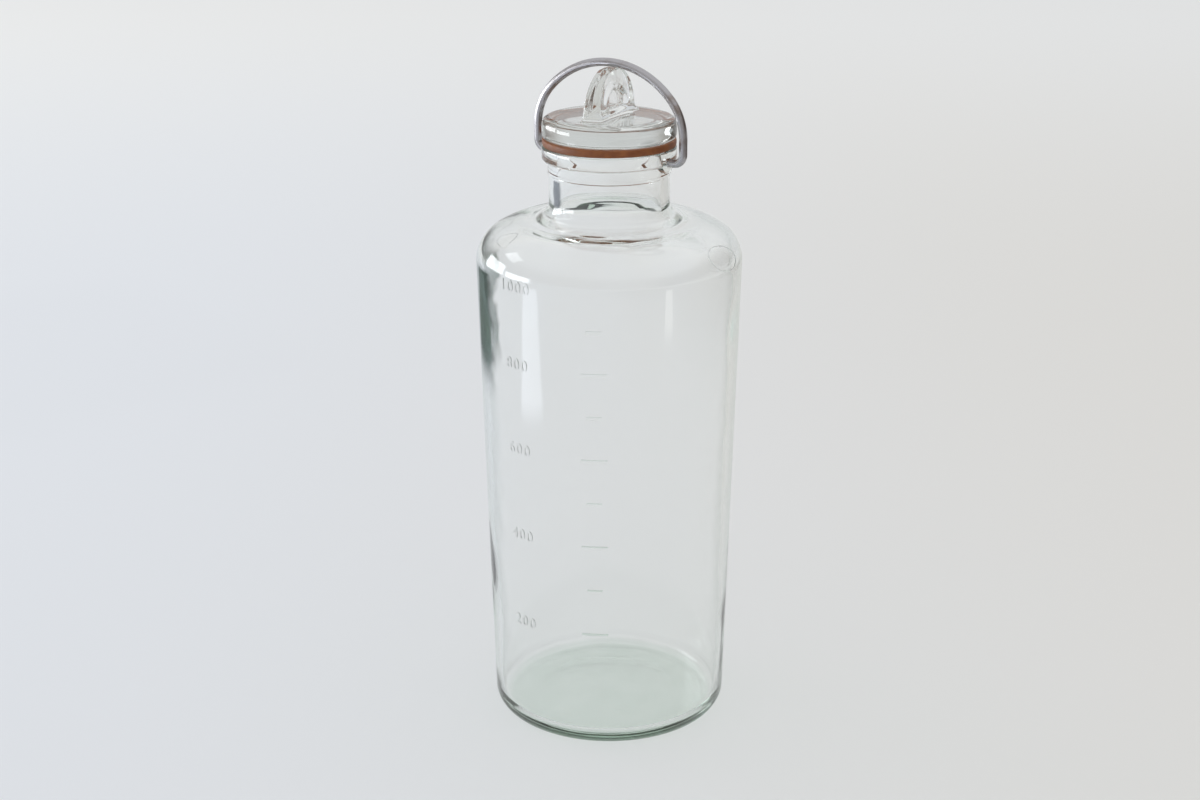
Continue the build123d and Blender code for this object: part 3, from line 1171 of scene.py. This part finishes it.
@dataclass
class Lid:
    """The pressed lid: a disc with a low step below and a fin on top, hollowed for the fingers."""

    top_round: float = 0.0028
    low_round: float = 0.0015
    disc: float = 0.0079
    step_radius: float = 0.0175
    step_depth: float = 0.0003
    turn: float = 7.0
    fin_length: float = 0.0310
    fin_height: float = 0.0173
    fin_straight: float = 0.0045
    foot_thickness: float = 0.0080
    crest_thickness: float = 0.0044
    foot_round: float = 0.0018
    sill: float = 0.0016
    hollow_depth: float = 0.0016
    hollow_reach: float = 0.0105
    hollow_width: float = 0.0180
    hollow_edge: float = 0.28
    sill_edge: float = 0.0016
    hollow_fade: float = 0.55
    along: int = 18
    across: int = 5
    detail: int = 3
    top_laps: tuple[Span, ...] = ((0.3, 0.86), (0.7, 0.86), (1, 0.9))
    step_laps: tuple[float, ...] = (0.5, 0.08)
    foot_laps: tuple[float, ...] = (0.1, 0.3, 0.6, 1)
    fin_laps: tuple[float, ...] = (0.15, 0.3, 0.45, 0.6, 0.73, 0.84, 0.92, 0.975)

    def build(self, glass: GlassFinish) -> Object:
        """Build the lid outwards from the fin's foot and upwards to its crest.

        Args:
            glass: Its finish.

        Returns:
            The piece.
        """
        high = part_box("lid")[1]
        self.radius, self.top = high.x, high.z - self.fin_height
        self.base = self.top - self.disc
        shape = bmesh.new()
        bmesh.ops.create_grid(shape, x_segments=self.along, y_segments=self.across, size=0.5)
        bmesh.ops.scale(shape, verts=shape.verts, vec=(*self.fin_size(0), 1))
        bmesh.ops.translate(shape, verts=shape.verts, vec=UP * self.top)
        foot = shape.faces[:]
        self.spread(shape, [edge for edge in shape.edges if edge.is_boundary])
        self.raise_fin(shape, foot)
        bmesh.ops.recalc_face_normals(shape, faces=shape.faces)
        source = loose_object("lid_cage", to_mesh("lid_cage", shape, 180))
        skin = source.modifiers.new("skin", "SUBSURF")
        skin.levels = skin.render_levels = self.detail
        mesh = baked_mesh(source)
        self.press(mesh)
        mesh.transform(Matrix.Rotation(radians(self.turn - 90), 4, "Z"))
        shade(mesh, 40)
        return dressed_piece("glass_lid", mesh, glass.material(), Body.JAR, "lid")

    def fin_size(self, height: float) -> tuple[float, float]:
        """Length and thickness of the fin, with the fillet round its foot.

        Args:
            height: Height over the disc.

        Returns:
            The two sizes.
        """
        over = max(0.0, (height - self.fin_straight) / (self.fin_height - self.fin_straight))
        left = max(0.0, self.foot_round - height)
        fillet = self.foot_round - sqrt(self.foot_round**2 - left**2)
        taper = (self.crest_thickness - self.foot_thickness) * height / self.fin_height
        length = self.fin_length * sqrt(max(0.0, 1 - over * over))
        return length + 2 * fillet, self.foot_thickness + taper + 2 * fillet

    def disc_rows(self) -> list[tuple[float, float, float]]:
        """Share of the circle, radius and height of each lap from the fin's foot to the middle below."""
        flat = self.radius - self.top_round
        rows = [(share, flat * width, self.top) for share, width in self.top_laps]
        for turn in (0, pi / 6, pi / 3, pi / 2):
            rows.append((1, flat + self.top_round * sin(turn), self.top - self.top_round * (1 - cos(turn))))
        rows.append((1, self.radius, self.base + self.low_round))
        for turn in (pi / 4, pi / 2):
            low = self.base + self.low_round * (1 - sin(turn))
            rows.append((1, self.radius - self.low_round * (1 - cos(turn)), low))
        step = self.base - self.step_depth
        rows.append((1, self.step_radius + self.step_depth, self.base))
        rows.append((1, self.step_radius - self.step_depth, step))
        return rows + [(1, self.step_radius * share, step) for share in self.step_laps]

    def spread(self, shape: BMesh, rim: list[BMEdge]) -> None:
        """Extrude the foot's edge outwards into the disc, round its side and in under the step.

        Args:
            shape: The lid's mesh, which so far is the foot's grid.
            rim: The edges round the foot.
        """
        length, thickness = self.fin_size(0)
        spots = {vert: vert.co.copy() for edge in rim for vert in edge.verts}
        for share, radius, height in self.disc_rows():
            made = bmesh.ops.extrude_edge_only(shape, edges=rim)["geom"]
            rim = of_kind(made, BMEdge)
            fresh = {}
            for vert in {vert for edge in rim for vert in edge.verts}:
                others = (edge.other_vert(vert) for edge in vert.link_edges)
                start = next(spots[other] for other in others if other in spots)
                angle = atan2(start.y / thickness, start.x / length)
                vert.co = start.lerp(Vector((cos(angle), sin(angle), 0)) * radius, share)
                vert.co.z = height
                fresh[vert] = start
            spots = fresh
        bmesh.ops.edgeloop_fill(shape, edges=rim)

    def raise_fin(self, shape: BMesh, foot: list[BMFace]) -> None:
        """Extrude the foot upwards into the arched fin.

        Args:
            shape: The lid's mesh.
            foot: The faces of the foot's grid.
        """
        left = self.fin_height - self.foot_round
        heights = [self.foot_round * share for share in self.foot_laps]
        heights += [self.foot_round + left * share for share in self.fin_laps]
        faces, before = foot, 0.0
        for height in heights:
            made = bmesh.ops.extrude_face_region(shape, geom=faces)["geom"]
            bmesh.ops.delete(shape, geom=[face for face in faces if face.is_valid], context="FACES")
            faces = of_kind(made, BMFace)
            verts = list({vert for face in faces for vert in face.verts})
            (length, thickness), (old_length, old_thickness) = self.fin_size(height), self.fin_size(before)
            bmesh.ops.scale(shape, verts=verts, vec=(length / old_length, thickness / old_thickness, 1))
            bmesh.ops.translate(shape, verts=verts, vec=UP * (height - before))
            before = height
        length, thickness = self.fin_size(before)
        for vert in {vert for face in faces for vert in face.verts}:
            inside = (1 - (2 * vert.co.x / length) ** 2) * (1 - (2 * vert.co.y / thickness) ** 4)
            vert.co.z += (self.fin_height - before) * max(0.0, inside)

    def press(self, mesh: Mesh) -> None:
        """Press an arched hollow into each broad face of the fin.

        Args:
            mesh: The lid's smooth mesh, with the fin along X.
        """
        for vert in mesh.vertices:
            over = vert.co.z - self.top - self.sill
            if over < 0 or abs(vert.co.y) < self.crest_thickness / 4:
                continue
            arch = 1 - hypot(2 * vert.co.x / self.hollow_width, over / self.hollow_reach)
            pressed = smooth_step(0, self.hollow_edge, arch) * smooth_step(0, self.sill_edge, over)
            depth = self.hollow_depth * pressed * (1 - over / self.hollow_reach * self.hollow_fade)
            vert.co.y -= depth if vert.co.y > 0 else -depth


@dataclass(frozen=True)
class Glow:
    """A round patch of the room as the bottle sees it, by angles in degrees from the camera's view."""

    color: Color
    azimuth: float
    elevation: float
    inner: float
    outer: float


@dataclass(frozen=True)
class Card:
    """A bright or dark card on the floor, placed from the bottle's axis as the camera sees it."""

    name: str
    color: Color
    strength: float
    right: float
    forward: float
    width: float
    length: float
    lift: float = 0.002
    upright: bool = False


@dataclass
class Studio:
    """The pale floor, the soft lights and the camera."""

    camera_azimuth: float = 30.0
    camera_distance: float = 0.71246
    camera_height: float = 0.36868
    camera_pitch: float = 19.067
    lens: float = 60.34
    sensor: float = 36.0
    shift: float = -0.00775
    floor_radius: float = 6.0
    floor_gap: float = 0.0001
    walls: Color = (0.50, 0.48, 0.46)
    glows: tuple[Glow, ...] = (
        Glow((0.74, 0.75, 0.76), 0, 8, 24, 50),
        Glow((0.10, 0.07, 0.05), 95, 0, 30, 55),
        Glow((0.22, 0.22, 0.22), -30, -2, 8, 18),
        Glow((0.92, 0.93, 0.94), 0, 90, 46, 74),
    )
    window_azimuth: float = -66.0
    window_distance: float = 2.6
    window_middle: float = 1.8
    window_aim: float = 0.15
    window_width: float = 1.4
    window_height: float = 1.1
    window_power: float = 14.5
    window_color: Color = (0.94, 0.97, 1.0)
    cards: tuple[Card, ...] = (
        Card("window_card", (0.94, 0.97, 1.0), 9.0, -1.37, 0.61, 0.95, 0.68, 0.31, True),
        Card("dark_left_card", (0.10, 0.11, 0.105), 1.0, -0.38, 0.40, 0.40, 0.30, 0.0010),
        Card("left_card", (0.86, 0.91, 1.0), 3.3, -0.46, -0.17, 0.20, 0.36),
        Card("far_left_card", (0.94, 0.97, 1.0), 9.0, -1.48, -0.17, 0.95, 0.40, 0.18, True),
        Card("right_card", (1.0, 0.99, 0.97), 2.2, 0.48, -0.40, 0.09, 0.40),
        Card("table_card", (0.09, 0.06, 0.045), 1.0, 0.95, 0.05, 1.90, 1.20, 0.0010),
        Card("front_table_card", (0.09, 0.06, 0.045), 1.0, 0.62, -0.85, 1.40, 1.20, 0.0015),
    )

    def build(self) -> None:
        """Set up the floor, the light and the camera."""
        self.right = outward(self.camera_azimuth + 90)
        self.forward = -outward(self.camera_azimuth)
        self.lay_floor()
        self.light_world()
        self.hang_lights()
        self.set_camera()
        self.free_paths()

    def lay_floor(self) -> None:
        """Lay the round paper floor."""
        shape = bmesh.new()
        bmesh.ops.create_circle(shape, cap_ends=True, segments=128, radius=self.floor_radius)
        bmesh.ops.translate(shape, verts=shape.verts, vec=-UP * self.floor_gap)
        mesh = to_mesh("floor", shape)
        paper = PaperFinish("studio_paper")
        mesh.materials.append(paper.material(self.right, self.forward))
        loose_object("floor", mesh)

    def light_world(self) -> None:
        """Light the room from a bright ceiling, with darker places near the horizon."""
        world = bpy.data.worlds.new("room")
        bpy.context.scene.world = world
        world.use_nodes = True
        wiring = Wiring(world.node_tree)
        wiring.read("Generated")
        light = wiring.add("ShaderNodeBackground")
        color = self.walls
        for glow in self.glows:
            rise = radians(glow.elevation)
            facing = wiring.along(self.level(glow.azimuth) * cos(rise) + UP * sin(rise))
            share = wiring.eased(facing, cos(radians(glow.outer)), cos(radians(glow.inner)))
            color = wiring.mixed(share, color, glow.color)
        wiring.put(light, {"Color": color})
        wiring.put(wiring.add("ShaderNodeOutputWorld"), {"Surface": light.outputs["Background"]})

    def level(self, azimuth: float) -> Vector:
        """Level direction at an azimuth in degrees from the camera's view, positive to its right."""
        return self.forward * cos(radians(azimuth)) + self.right * sin(radians(azimuth))

    def hang_lights(self) -> None:
        """Hang a soft window at the left and set up the cards that the glass mirrors."""
        lamp = bpy.data.lights.new("window", "AREA")
        lamp.shape, lamp.size, lamp.size_y = "RECTANGLE", self.window_width, self.window_height
        lamp.energy, lamp.color = self.window_power, self.window_color
        place = loose_object("window", lamp)
        place.location = self.level(self.window_azimuth) * self.window_distance + UP * self.window_middle
        place.rotation_euler = (UP * self.window_aim - place.location).to_track_quat("-Z", "Y").to_euler()
        place.visible_glossy = False
        for card in self.cards:
            self.lay_card(card)

    def lay_card(self, card: Card) -> None:
        """Lay one card on the floor, or stand it up, seen by mirrored rays alone.

        Args:
            card: Its place, size and colour.
        """
        shape = bmesh.new()
        shape.loops.layers.uv.new("card")
        bmesh.ops.create_grid(shape, x_segments=1, y_segments=1, size=0.5, calc_uvs=True)
        bmesh.ops.scale(shape, verts=shape.verts, vec=(card.width, card.length, 1))
        if card.upright:
            rotate(shape, shape.verts, pi / 2, "X")
        middle = self.right * card.right + self.forward * card.forward + UP * card.lift
        facing = atan2(middle.y, middle.x) - pi / 2
        rotate(shape, shape.verts, facing, "Z")
        bmesh.ops.translate(shape, verts=shape.verts, vec=middle)
        mesh = to_mesh(card.name, shape)
        mesh.materials.append(CardFinish(card.name, card.color, card.strength).material())
        piece = loose_object(card.name, mesh)
        piece.visible_camera = piece.visible_diffuse = piece.visible_transmission = False
        piece.visible_shadow = piece.visible_volume_scatter = False

    def set_camera(self) -> None:
        """Put the camera where the photograph was taken from."""
        lens = bpy.data.cameras.new("camera")
        lens.lens, lens.sensor_width, lens.shift_x = self.lens, self.sensor, self.shift
        camera = loose_object("camera", lens)
        camera.location = -self.forward * self.camera_distance + UP * self.camera_height
        pitch = radians(self.camera_pitch)
        aim = self.forward * cos(pitch) - UP * sin(pitch)
        camera.rotation_euler = aim.to_track_quat("-Z", "Y").to_euler()
        scene = bpy.context.scene
        scene.camera = camera
        scene.view_settings.view_transform = "Standard"

    def free_paths(self) -> None:
        """Let light pass through many walls of glass, and keep stray bright spots off the floor."""
        paths = bpy.context.scene.cycles
        paths.max_bounces, paths.transmission_bounces, paths.glossy_bounces = 32, 32, 24
        paths.transparent_max_bounces = 32
        paths.caustics_refractive = paths.caustics_reflective = False


def main() -> None:
    """Build every piece and the studio."""
    logging.basicConfig(level=logging.INFO)
    bottle = Bottle()
    # The painted shade streak and the painted neck reflection lie on the side at azimuth -60.
    bottle.build(GlassFinish("bottle_clear_glass", shaded_side_azimuth=-60.0))
    SealingRing().build(RubberFinish("ring_brown_rubber"), bottle.bore_radius)
    lid_glass = GlassFinish(
        "lid_clear_glass",
        depth_tint=(0.62, 0.66, 0.62),
        # Lighter painted shade at the lid's grazing edges.
        painted_edge_shade=(0.78, 0.80, 0.785),
        depth_density=14.0,
        skin_height=0.00001,
    )
    Lid().build(lid_glass)
    Bail().build(SteelFinish("bail_satin_steel"), bottle.pivot)
    Studio().build()


if __name__ == "__main__":
    main()
